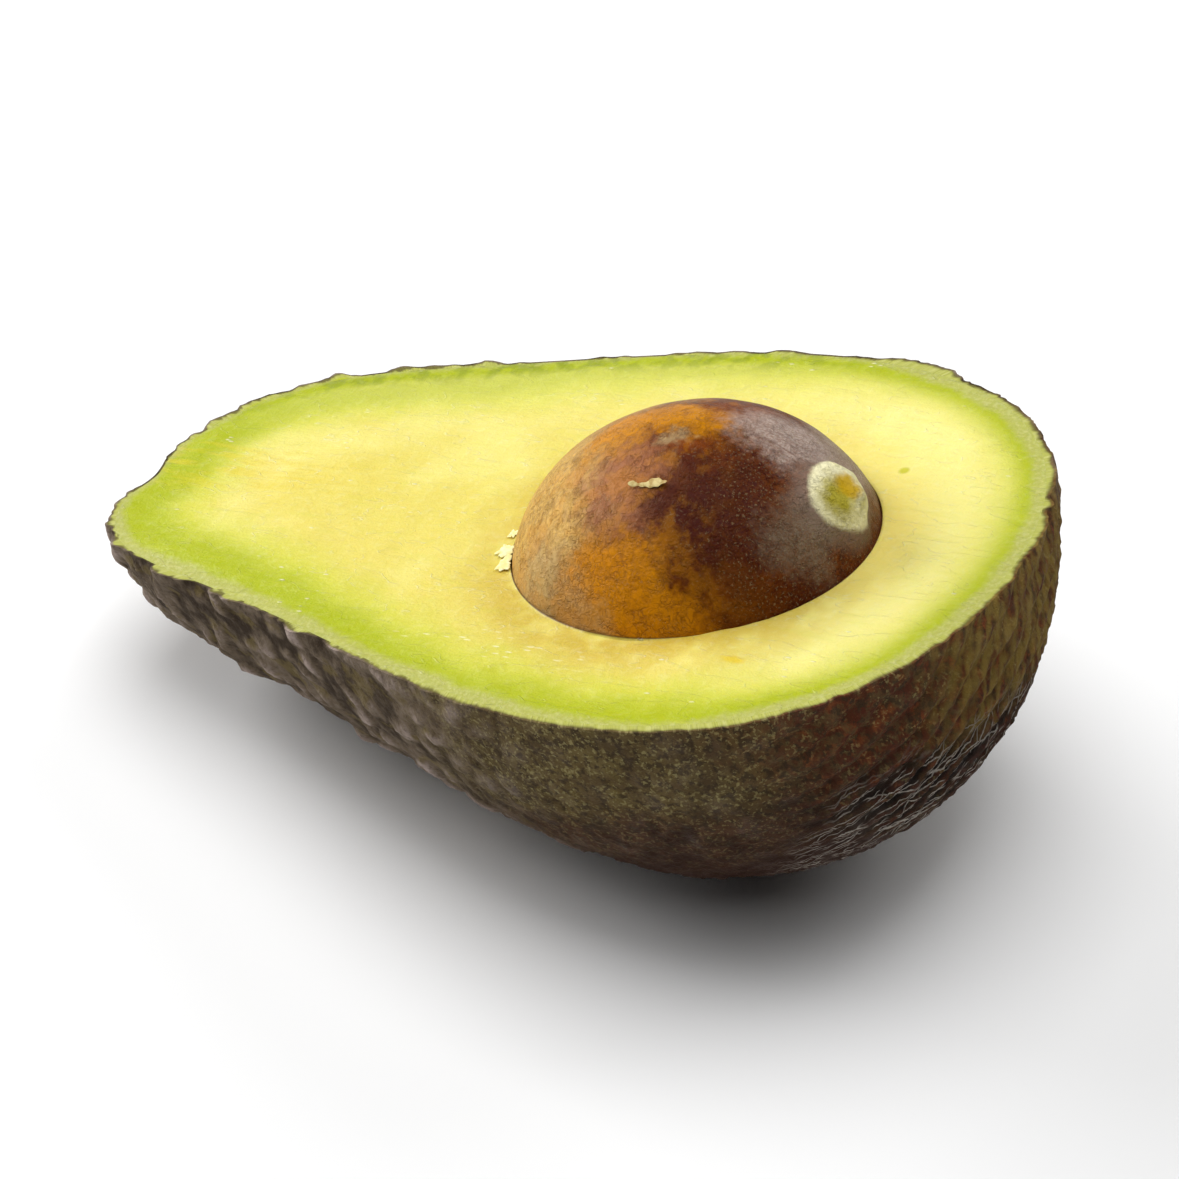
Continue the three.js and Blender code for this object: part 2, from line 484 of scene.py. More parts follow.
    def layered(self, colour: Tint, *layers: tuple[Number, Tint]) -> Signal:
        """A colour under layers, mixed over it one after another.

        Args:
            colour: the colour underneath.
            layers: a share from 0 to 1, and the colour that it brings.
        Returns:
            The colour on top.
        """
        for share, tint in layers:
            colour = self.mix(share, colour, tint)
        return colour

    def bump(self, height_mm: Signal) -> Signal:
        """Normal bent by a height in millimetres."""
        return self.node("ShaderNodeBump", None, {"Height": height_mm, "Strength": 1.0, "Distance": MM})

    def finish(self, inputs: dict[str, object]) -> bpy.types.Material:
        """Closes a material's sheet with one surface shader.

        Args:
            inputs: values and signals for the shader's sockets.
        Returns:
            The material.
        """
        shader = self.node("ShaderNodeBsdfPrincipled", None, inputs)
        self.node("ShaderNodeOutputMaterial", None, {"Surface": shader})
        return self.owner


# ---- The fruit's shape -------------------------------------------------------


@dataclass(frozen=True)
class Fruit:
    """Outline of the half and how it lies."""

    length: float = 100.0
    width: float = 65.4
    half_depth: float = 34.0
    neck_bend: float = 4.5
    neck_bend_power: float = 6.0
    pear: tuple[float, ...] = (1.0, 0.42, 0.126, -0.273, 0.21)
    lie_tilt: float = math.radians(13.4)
    pressed_depth: float = 0.4
    skin_thickness: float = 1.0
    meridian_length: float = 127.0
    dimple_depth: float = 1.3
    dimple_radius: float = 3.6
    samples: int = 2001

    def pear_factor(self, X: Array) -> Array:
        """Polynomial in the place along the fruit that turns a circle into a pear."""
        return sum(c * X**power for power, c in enumerate(self.pear))

    def pear_radius(self, X: Array) -> Array:
        """Circle's radius times the pear factor."""
        return np.sqrt(np.maximum(0.0, 1.0 - X * X)) * self.pear_factor(X)

    @property
    def widest(self) -> float:
        """Largest pear radius over the fruit."""
        return float(self.pear_radius(np.linspace(-1.0, 1.0, self.samples)).max())

    @property
    def touch(self) -> Triple:
        """Where the tilted belly touches first.

        Returns:
            Its place along from -1 to 1, its depth, and how far below the middle it hangs.
        """
        X = np.linspace(-1.0, 1.0, self.samples)
        depth = self.half_depth * self.pear_radius(X) / self.widest
        drop = depth * math.cos(self.lie_tilt) - self.length / 2 * X * math.sin(self.lie_tilt)
        lowest = int(drop.argmax())
        return float(X[lowest]), float(depth[lowest]), float(drop[lowest])

    def distance_along(self, X: Array) -> Array:
        """Distance from the stem end over the peel, close to a circle's arc."""
        return self.meridian_length * np.arccos(np.clip(-X, -1.0, 1.0)) / math.pi

    def ground(self, x: Array) -> Array:
        """Height, in the fruit's frame, of the surface the half lies on, above a given x."""
        rest_height = self.touch[2] - self.pressed_depth
        return -(rest_height + x * math.sin(self.lie_tilt)) / math.cos(self.lie_tilt)

    def point(self, direction: Array, inset: Union[Array, float], layer: float) -> Array:
        """Point of the half for a direction on the lower half of the unit sphere.

        The direction is stretched to the half's length, width and depth less the inset, and swollen by the
        pear factor. The stem end leans aside, and nothing comes closer to the ground than its layer.

        Args:
            direction: unit vectors, shape (..., 3).
            inset: how far inside the plain outline, one number or one for each direction.
            layer: how far inside the peel the surface's layer is.
        Returns:
            Points in millimetres, in the fruit's frame.
        """
        X, Y, Z = direction[..., 0], direction[..., 1], direction[..., 2]
        spread = self.pear_factor(X) / self.widest
        dimple = self.dimple_depth * np.exp(-((self.distance_along(X) / self.dimple_radius) ** 2))
        x = (self.length / 2 - inset - dimple) * X
        lean = -self.neck_bend * np.maximum(0.0, -X) ** self.neck_bend_power
        y = lean + (self.width / 2 - inset) * spread * Y
        z = (self.half_depth - inset) * spread * Z
        return np.stack([x, y, np.maximum(z, self.ground(x) + layer)], axis=-1)

    def laid_down(self, points: Array) -> Array:
        """Points of the fruit's frame turned by the lie tilt and set on the ground.

        Args:
            points: places in millimetres, shape (..., 3).
        Returns:
            Places in the row frame, in metres.
        """
        X, depth, drop = self.touch
        cosine, sine = math.cos(self.lie_tilt), math.sin(self.lie_tilt)
        x = points[..., 0] * cosine - points[..., 2] * sine - self.length / 2 * X * cosine - depth * sine
        z = points[..., 0] * sine + points[..., 2] * cosine + drop - self.pressed_depth
        return np.stack([x, points[..., 1], z], axis=-1) * MM


def rim_angles(columns: int) -> Array:
    """Even angles once round the rim."""
    return np.arange(columns) * 2.0 * math.pi / columns


def bowl_directions(columns: int, falls: Array) -> Array:
    """Unit vectors of a bowl: round the rim by angle, and down from it by a fall angle.

    Args:
        columns: how many steps round.
        falls: angles below the rim, from 0 to a quarter turn.
    Returns:
        Directions, shape (falls, columns, 3).
    """
    angle = rim_angles(columns)[None, :]
    fall = falls[:, None]
    level, down = np.cos(fall), -np.sin(fall) * np.ones_like(angle)
    return np.stack([np.cos(angle) * level, np.sin(angle) * level, down], axis=-1)


def ball(rings: int, columns: int) -> Array:
    """Unit sphere on a grid: a fall angle from pole to pole along z, and an angle round it.

    Args:
        rings, columns: how many steps down and round.
    Returns:
        Points, shape (rings, columns, 3).
    """
    fall = np.linspace(0.0, math.pi, rings)[:, None]
    angle = rim_angles(columns)[None, :]
    level, high = np.sin(fall), np.cos(fall) * np.ones_like(angle)
    return np.stack([level * np.cos(angle), level * np.sin(angle), high], axis=-1)


# ---- Peel --------------------------------------------------------------------


@dataclass(frozen=True)
class Lumps:
    """Rounded lumps of the peel, longer around the fruit than along it, in millimetres."""

    along: float
    around: float
    height: float
    crease: float
    channel: int
    wander: float
    wander_size: float = 4.5

    def rise(self, over: Array) -> Array:
        """How far up a lump each point is: 0 in a crease, 1 on top, eased between; the lumps wander by noise.

        Args:
            over: distance from the stem end over the peel, and the place's y and z, shape (..., 3).
        Returns:
            One number for each point.
        """
        strays = [Ripple(self.wander, self.wander_size, self.channel + turn) for turn in (60, 70, 80)]
        moved = over + np.stack([stray.at(over) for stray in strays], axis=-1)
        cells = moved / np.array([self.along, self.around, self.around])
        return ramp(crease_distance(cells, self.channel), 0.0, self.crease)


@dataclass
class Peel:
    """The thin shell: lumpy at the neck and behind, smooth on the belly, folded at the blunt end.

    A start or a fade is the pair of places, in millimetres, between which a zone comes or goes: along the
    peel from the stem end, across it from front to back, or down from the rim.
    """

    fruit: Fruit
    columns: int = 700
    outer_rings: int = 118
    edge_rings: int = 6
    lining_rings: int = 10
    pebble: Lumps = Lumps(2.9, 4.3, 1.0, 0.60, 1, 1.4)
    swelling: Lumps = Lumps(8.5, 14.0, 1.15, 0.9, 2, 2.0)
    grain: Lumps = Lumps(1.2, 1.3, 0.20, 0.7, 6, 0.4)
    fold_spacing: float = 3.1
    fold_slope: float = 0.6
    fold_height: float = 0.28
    fold_wave: tuple[Ripple, ...] = (Ripple(0.7, 8.0, 35), Ripple(0.15, 2.5, 36))
    soft: Ripple = Ripple(1.0, (2.3, 3.4, 3.4), 34)
    bulge: Ripple = Ripple(0.75, (3.9, 12.0, 6.0), 37)
    bulge_lift: float = 0.2
    deepest: float = -0.7
    border: Ripple = Ripple(5.0, 12.0, 33)
    front_fade: Pair = (-12.0, 10.0)
    neck_fade: Pair = (46.0, 72.0)
    belly_start: Pair = (56.0, 78.0)
    belly_fade: Pair = (96.0, 108.0)
    blunt_start: Pair = (86.0, 102.0)
    blunt_fade: Pair = (8.0, 26.0)
    calm_start: Pair = (70.0, 96.0)
    rim_calm: Pair = (0.0, 3.5)
    back_fade: Pair = (66.0, 104.0)
    back_depth: Pair = (0.0, 14.0)

    def zones(self, plain: Array, along: Array) -> dict[str, Array]:
        """Shares from 0 to 1 of the neck, the smooth belly, the folded blunt end and the front.

        Each is an eased step along the peel or across it, whose border strays by noise.

        Args:
            plain: points without relief, shape (..., 3).
            along: their distance from the stem end over the peel.
        Returns:
            The shares by name, one number for each point.
        """
        y, z = plain[..., 1], plain[..., 2]
        stray = self.border.at(plain)
        front = 1.0 - ramp(y + stray, *self.front_fade)
        neck = 1.0 - ramp(along + stray, *self.neck_fade)
        belly = front * ramp(along + stray, *self.belly_start) * (1.0 - ramp(along + stray, *self.belly_fade))
        blunt = ramp(along + stray + 0.25 * z, *self.blunt_start)
        blunt = blunt * (0.35 + 0.65 * (1.0 - ramp(y, *self.blunt_fade)))
        return {"neck": neck, "belly": belly, "blunt": blunt, "front": front}

    def outer(self) -> tuple[Array, dict[str, Array]]:
        """Outer side from the rim down: lumps on swellings, fine grain, and folds at the blunt end.

        The folds follow the height below the cut, waved by noise: height times the cosine of that phase.

        Returns:
            Points in the fruit's frame, rings from the rim to the bottom, and the named values.
        """
        falls = np.linspace(0.0, math.pi / 2, self.outer_rings)
        direction = bowl_directions(self.columns, falls)
        plain = self.fruit.point(direction, 0.0, 0.0)
        y, z = plain[..., 1], plain[..., 2]
        along = self.fruit.distance_along(direction[..., 0])
        zone = self.zones(plain, along)
        over = np.stack([along, y, z], axis=-1)
        pebble, swelling, grain = (lumps.rise(over) for lumps in (self.pebble, self.swelling, self.grain))
        soft = self.soft.at(over)
        back = (1.0 - zone["front"]) * (1.0 - ramp(along, *self.back_fade))
        back = back * (1.0 - 0.6 * ramp(-z, *self.back_depth))
        bulge = self.bulge.at(over) + self.bulge_lift
        wave = rippled(self.fold_wave, plain)
        fold = np.cos(2.0 * math.pi * ((z - self.fold_slope * y) / self.fold_spacing + wave))
        lumpy = np.clip(1.0 - 0.86 * zone["belly"] - 0.8 * zone["blunt"], 0.1, 1.0)
        lumpy *= 1.0 - 0.6 * ramp(along, *self.calm_start)
        near_rim = 1.0 - 0.5 * zone["front"] * (1.0 - ramp(-z, *self.rim_calm)) * (1.0 - 0.7 * zone["neck"])
        relief = near_rim * (
            lumpy * (self.pebble.height * (0.55 * pebble + 0.4 * soft - 0.25))
            + self.swelling.height * (0.25 + 0.75 * lumpy) * (swelling - 0.5)
            + self.grain.height * (grain - 0.5) * (1.0 - 0.5 * zone["neck"])
            + self.fold_height * fold * zone["blunt"]
            + bulge * back
        )
        points = self.fruit.point(direction, -np.maximum(relief, self.deepest), 0.0)
        high = np.clip(0.5 * pebble + 0.35 * soft + 0.25, 0.0, 1.0)
        values = {"high": high, "grain": grain, "fold": fold, "spot": plain}
        return points, values | {key: zone[key] for key in ("belly", "blunt", "front")}

    def build(self) -> bpy.types.Object:
        """Closed shell: up the lining, across the cut edge and down the outer side.

        Returns:
            The peel's object.
        """
        outer, values = self.outer()
        lining_falls = np.linspace(math.pi / 2, 0.0, self.lining_rings)
        thickness = self.fruit.skin_thickness
        lining = self.fruit.point(bowl_directions(self.columns, lining_falls), thickness, thickness)
        share = np.linspace(0.0, 1.0, self.edge_rings + 1)[1:-1, None, None]
        edge = lining[-1:] * (1.0 - share) + outer[:1] * share
        rings = np.concatenate([lining, edge, outer])
        rim_gap = np.linalg.norm(lining[-1] - outer[0], axis=-1)
        depth = np.zeros(rings.shape[:2])
        depth[: self.lining_rings] = rim_gap
        depth[self.lining_rings : -self.outer_rings] = rim_gap * (1.0 - share[..., 0])
        named = {"depth": depth, "fringe": fringe_width(rings)}
        for key, value in values.items():
            full = np.repeat(value[:1], len(rings), axis=0)
            full[-self.outer_rings :] = value
            named[key] = full
        return closed_object("avocado_skin", self.fruit.laid_down(rings), named, Turned.OVER)


@dataclass(frozen=True)
class PeelFinish:
    """Brown peel: lumps with painted shade in the creases and a painted mauve grey highlight, an olive
    grained belly, painted shade underneath and in the folds, and streaks and pale threads at the blunt end.
    """

    # Darkest tone: painted shade in the creases between the neck's lumps, and the dark mottle and pits
    # elsewhere.
    crease: Colour = (0.036, 0.023, 0.013)
    brown: Colour = (0.160, 0.120, 0.082)
    mauve_highlight: Colour = (0.405, 0.322, 0.285)
    # Painted highlight on the tops of the neck's lumps.
    belly: Colour = (0.098, 0.064, 0.026)
    olive: Colour = (0.165, 0.122, 0.042)
    speckle: Colour = (0.390, 0.330, 0.135)
    # Painted shade on the underside of the peel: a dusky red brown, and near black lowest down.
    dusky_shade: Colour = (0.075, 0.033, 0.017)
    under: Colour = (0.026, 0.008, 0.005)
    maroon: Colour = (0.080, 0.020, 0.010)
    rust: Colour = (0.180, 0.050, 0.016)
    streak: Colour = (0.230, 0.155, 0.034)
    thread: Colour = (0.480, 0.430, 0.370)
    # Painted shade in the bottoms of the blunt end's folds and over its lower part.
    fold_shade: Colour = (0.008, 0.005, 0.004)
    streak_lean: Pair = (0.45, 0.75)
    streak_spacing: Pair = (1.25, 2.2)
    thread_slope: Triple = (0.65, 0.25, 1.4)
    thread_spacing: Triple = (1.05, 1.9, 3.1)
    specular: float = 0.06

    def neck_tone(
        self, sheet: NodeSheet, place: Signal, high: Signal, grain: Signal, front: Signal
    ) -> Signal:
        """Lumps from painted shade in the creases over brown to a painted mauve grey highlight on the tops,
        stronger at the front.

        Args:
            sheet: the nodes to add to.
            place: the point without relief, in millimetres.
            high, grain: how far up a lump and a grain the point is.
            front: 1 on the front side, 0 behind.
        Returns:
            The colour.
        """
        drawn = sheet.scaled(place, (1.0, 0.65, 0.65))
        uneven = sheet.noise(drawn, 1.5, 4.0, 0.6)
        lump = high * 0.85 + (uneven - 0.5) * 1.1 + grain * 0.08
        mossy = sheet.noise(place, 2.4, 3.0).eased(0.54, 0.66) * (1.0 - lump.eased(0.5, 0.9))
        # Painted shade in the creases, brown on the lumps, and a painted mauve grey highlight on their tops.
        return sheet.layered(
            self.crease,
            (lump.eased(0.0, 0.55), self.brown),
            (lump.eased(0.42, 1.0) * (0.32 + front * 0.68), self.mauve_highlight),
            (mossy * 0.55, self.olive),
        )

    def belly_tone(self, sheet: NodeSheet, place: Signal, broad: Signal, patchy: Signal) -> Signal:
        """Dark olive brown with fine yellowish grains between dark pits, and painted shade underneath, darker
        and redder towards the bottom.

        Args:
            sheet: the nodes to add to.
            place: the point without relief, in millimetres.
            broad, patchy: noise with features of 9 and of 2.6 mm.
        Returns:
            The colour.
        """
        height = sheet.part(place, "Z") - sheet.part(place, "X") * 0.2 + broad * 8.0
        # Painted shade: darker towards the bottom of the belly.
        dusk = 0.95 - height.eased(-15.5, -9.5) * 0.95
        tone = sheet.layered(
            self.belly,
            (patchy.eased(0.32, 0.72), self.olive),
            (broad.eased(0.42, 0.64) * 0.3, self.crease),
            (dusk, sheet.mix(patchy.eased(0.35, 0.6), self.under, self.dusky_shade)),
        )
        tone = self.grainy(sheet, place, tone, patchy.eased(0.28, 0.56) * (1.0 - dusk * 0.6))
        # Painted shade: the lowest part of the peel goes near black.
        return sheet.mix(0.85 - height.eased(-25.0, -15.0) * 0.85, tone, self.under)

    def grainy(self, sheet: NodeSheet, place: Signal, tone: Signal, share: Signal) -> Signal:
        """A tone with dark pits three quarters of a millimetre wide and finer light grains.

        Args:
            sheet: the nodes to add to.
            place: the point without relief, in millimetres.
            tone: the colour underneath.
            share: how many of the light grains show, from 0 to 1.
        Returns:
            The colour.
        """
        pits = 1.0 - sheet.noise(place, 0.75, 3.0, 0.6).eased(0.38, 0.52)
        grains = sheet.noise(place, 0.40, 2.0, 0.6).eased(0.53, 0.66)
        return sheet.layered(tone, (pits * 0.75, self.crease), (grains * share * 0.55, self.speckle))

    def end_tone(self, sheet: NodeSheet, place: Signal, patchy: Signal, fold: Signal) -> Signal:
        """Mottled maroon and rust, upright olive streaks towards the tip, and painted black shade in the
        folds and low down.

        Args:
            sheet: the nodes to add to.
            place: the point without relief, in millimetres.
            patchy: noise with features of 2.6 mm.
            fold: 1 on a fold's crest, -1 in its bottom.
        Returns:
            The colour.
        """
        y, z = sheet.part(place, "Y"), sheet.part(place, "Z")
        upright = sheet.scaled(place, (1.0, 1.0, 0.22))
        wave = sheet.noise(upright, 8.0, 2.0) * 1.6 + sheet.noise(upright, 1.5, 3.0) * 0.7
        low = 1.0 - (z + y * 0.2 + sheet.noise(place, 6.0, 3.0) * 7.0).eased(-14.0, -8.0)
        tone = sheet.layered(
            self.maroon,
            (sheet.noise(place, 1.6, 4.0, 0.65).eased(0.50, 0.66), self.rust),
            (sheet.noise(place, 1.1, 4.0, 0.65).eased(0.46, 0.60) * 0.7, self.belly),
        )
        tone = self.grainy(sheet, place, tone, patchy.eased(0.44, 0.62) * 0.8)
        rough_wave = sheet.noise(upright, 0.9, 3.0) * 0.8
        sets = zip(self.streak_lean, self.streak_spacing)
        narrow, wide = ((y - z * lean) / spacing for lean, spacing in sets)
        lines = sheet.threads(narrow + wave + rough_wave, 0.55) * 0.6
        lines = lines + sheet.threads(wide + wave * 1.6 + rough_wave, 0.6) * 0.4
        tip = (y + sheet.noise(place, 4.0, 2.0) * 10.0).eased(-12.0, -3.0)
        shown = (lines * 0.42 + patchy * 1.2).eased(0.50, 1.10) * (0.05 + tip * 0.8) * (1.0 - low)
        # Painted shade: black in the fold bottoms and low on the blunt end.
        folded = low * 0.5 + low * (0.2 - fold).eased(-0.4, 0.8) * 0.5
        return sheet.layered(tone, (shown, self.streak), (folded, self.fold_shade))

    def thread_lines(self, sheet: NodeSheet, place: Signal) -> Signal:
        """Where the pale threads run: three sets of thin waving lines low on the blunt end, broken in places.

        Args:
            sheet: the nodes to add to.
            place: the point without relief, in millimetres.
        Returns:
            1 on a thread, 0 beside it.
        """
        x, y, z = (sheet.part(place, axis) for axis in "XYZ")
        wave = sheet.noise(place, 7.0, 2.0) * 2.0 + sheet.noise(place, 1.5, 3.0) * 0.55
        sets = zip(self.thread_slope, self.thread_spacing)
        first, second, third = ((z - y * slope) / spacing for slope, spacing in sets)
        lines = sheet.threads(first + wave, 0.11).at_least(sheet.threads(second - wave * 0.9, 0.07))
        lines = lines.at_least(sheet.threads(third + wave * 0.7, 0.05))
        broken = sheet.noise(place, 2.6, 2.0).eased(0.38, 0.52) * (1.0 - (y + wave * 4.0).eased(8.0, 18.0))
        low = 1.0 - (z + y * 0.2 + sheet.noise(place, 5.0, 2.0) * 7.0).eased(-13.5, -8.5)
        end = (x - z * 0.85).eased(49.0, 53.5)
        return lines * broken * low * end

    def material(self) -> bpy.types.Material:
        """Colour by the peel's zones, and the cut edge by its depth.

        Returns:
            The material.
        """
        sheet = NodeSheet(bpy.data.materials.new("peel"))
        place = sheet.attribute("spot", "Vector")
        high, grain, fold = (sheet.attribute(key) for key in ("high", "grain", "fold"))
        belly, blunt, depth, fringe = (sheet.attribute(key) for key in ("belly", "blunt", "depth", "fringe"))
        broad = sheet.noise(place, 9.0, 3.0)
        patchy = sheet.noise(place, 2.6, 4.0, 0.6)
        fine = sheet.noise(place, 0.5, 3.0, 0.65)

        thread = self.thread_lines(sheet, place)
        line = (depth + (fine - 0.5) * 0.5).eased(0.10, 0.40)
        colour = sheet.layered(
            self.neck_tone(sheet, place, high, grain, sheet.attribute("front")),
            (fine.eased(0.52, 0.68) * 0.35, self.crease),
            (belly * 0.92, self.belly_tone(sheet, place, broad, patchy)),
            (blunt * 0.95, self.end_tone(sheet, place, patchy, fold)),
            (thread * 0.9, self.thread),
            (line, FleshFinish().cut_colour(sheet, depth, fringe, place)),
        )
        height = fine * 0.22 + grain * 0.10 + sheet.noise(place, 0.25, 2.0) * 0.06 + thread * 0.16
        rough = 0.66 + (1.0 - high) * 0.12 + (fine - 0.5) * 0.3
        return sheet.finish(
            {
                "Base Color": colour,
                "Roughness": rough,
                "Specular IOR Level": self.specular,
                "Normal": sheet.bump(height),
            }
        )


# ---- Flesh -------------------------------------------------------------------


def fringe_width(points: Array) -> Array:
    """Width of the pale band under the peel: wider round the blunt end and along the near side of the neck.

    Args:
        points: places in the fruit's frame, shape (..., 3).
    Returns:
        One width in millimetres for each point.
    """
    x, y = points[..., 0], points[..., 1]
    near = ramp(-y, 6.0, 18.0) * (1.0 - ramp(x, 8.0, 34.0))
    blunt = ramp(x + 0.25 * y, 14.0, 44.0)
    return 1.15 + 1.15 * blunt + 1.2 * near + Ripple(0.35, 3.0, 43).at(points)


@dataclass(frozen=True)
class Ovoid:
    """The stone's plain shape and place in the fruit's frame."""

    length: float = 38.7
    width: float = 34.6
    centre: Triple = (15.6, -1.65, -4.65)
    pitch: float = math.radians(19.6)
    yaw: float = math.radians(6.6)

    @property
    def radii(self) -> Array:
        """Half of the ovoid's length, width and depth."""
        return np.array([self.length, self.width, self.width]) / 2

    @property
    def turn(self) -> Array:
        """Matrix whose columns are the stone's own axes: blunt end up by the pitch, then aside by the yaw."""
        return np.array(Matrix.Rotation(self.yaw, 3, "Z") @ Matrix.Rotation(-self.pitch, 3, "Y"))

    def reach(self, direction: Array, gap: float) -> Array:
        """Distance from the place in the cut plane above the stone's middle to its surface.

        The ray's length solves the quadratic of a line and an ellipsoid widened by the gap.

        Args:
            direction: unit vectors, shape (..., 3).
            gap: how far the hollow stands off the stone.
        Returns:
            One distance for each direction.
        """
        radii = self.radii + gap
        start = np.array([0.0, 0.0, -self.centre[2]]) @ self.turn / radii
        step = direction @ self.turn / radii
        a, b, c = (step**2).sum(-1), step @ start, start @ start - 1.0
        return (-b + np.sqrt(b * b - a * c)) / a


@dataclass
class Flesh:
    """The flesh with its cut face and the hollow round the stone."""

    fruit: Fruit
    ovoid: Ovoid
    columns: int = 700
    side_rings: int = 12
    face_rings: int = 78
    hollow_rings: int = 26
    gap: float = 0.07
    lip: float = 0.03
    far_away: float = 30.0
    swell: tuple[Ripple, ...] = (Ripple(0.25, 9.0, 41), Ripple(0.07, 2.2, 42))
    chunks: int = 40

    def build(self) -> bpy.types.Object:
        """Closed body: up the outer side, across the cut face, over the lip and down the hollow.

        The face's points go evenly from the peel to the lip. The face undulates by soft noise that fades
        at the peel, and sinks towards the lip by the square of an eased step.

        Returns:
            The flesh's object.
        """
        thickness = self.fruit.skin_thickness
        side_falls = np.linspace(math.pi / 2, 0.0, self.side_rings)
        side = self.fruit.point(bowl_directions(self.columns, side_falls), thickness, thickness)
        middle = np.array([self.ovoid.centre[0], self.ovoid.centre[1], 0.0])
        outward = side[-1] - middle
        outward /= np.linalg.norm(outward, axis=-1, keepdims=True)
        hollow_edge = middle + outward * self.ovoid.reach(outward, self.gap)[:, None]
        share = np.linspace(0.0, 1.0, self.face_rings)[1:-1, None, None]
        face = side[-1:] * (1.0 - share) + hollow_edge[None] * share
        falls = np.linspace(0.0, math.pi / 2, self.hollow_rings)[:, None, None]
        down = np.array([0.0, 0.0, -1.0])
        ray = outward[None] * np.cos(falls) + down * np.sin(falls)
        hollow = middle + ray * self.ovoid.reach(ray, self.gap)[..., None]
        rings = np.concatenate([side, face, hollow])

        depth = self.depth_from_peel(rings.reshape(-1, 3), side[-1]).reshape(rings.shape[:2])
        depth[: self.side_rings] = thickness
        near_stone = np.full(rings.shape[:2], self.far_away)
        flat = slice(self.side_rings, self.side_rings + self.face_rings - 2)
        near_stone[flat] = np.linalg.norm(face - hollow_edge[None], axis=-1)
        near_stone[flat.stop :] = 0.0
        values = {"depth": depth, "near_stone": near_stone, "spot": rings.copy()}
        values["fringe"] = fringe_width(rings)
        fade = ramp(depth[flat], thickness, 4.0)
        sunk = self.lip * (1.0 - ramp(near_stone[flat], 0.0, 1.2)) ** 2
        rings[flat, :, 2] += rippled(self.swell, face) * fade - sunk
        return closed_object("avocado_flesh", self.fruit.laid_down(rings), values)

    def depth_from_peel(self, points: Array, rim: Array) -> Array:
        """Shortest distance of each point to the peel's outer line, worked out in chunks.

        Args:
            points: places in the fruit's frame, shape (points, 3).
            rim: the flesh's own border, shape (columns, 3), which lies inside the peel's edge.
        Returns:
            Distances in millimetres, the peel's thickness included.
        """
        line = rim[::2, :2]
        parts = []
        for chunk in np.array_split(points[:, :2], self.chunks):
            gaps = chunk[:, None, :] - line[None, :, :]
            parts.append(np.sqrt((gaps**2).sum(-1).min(1)))
        return np.concatenate(parts) + self.fruit.skin_thickness


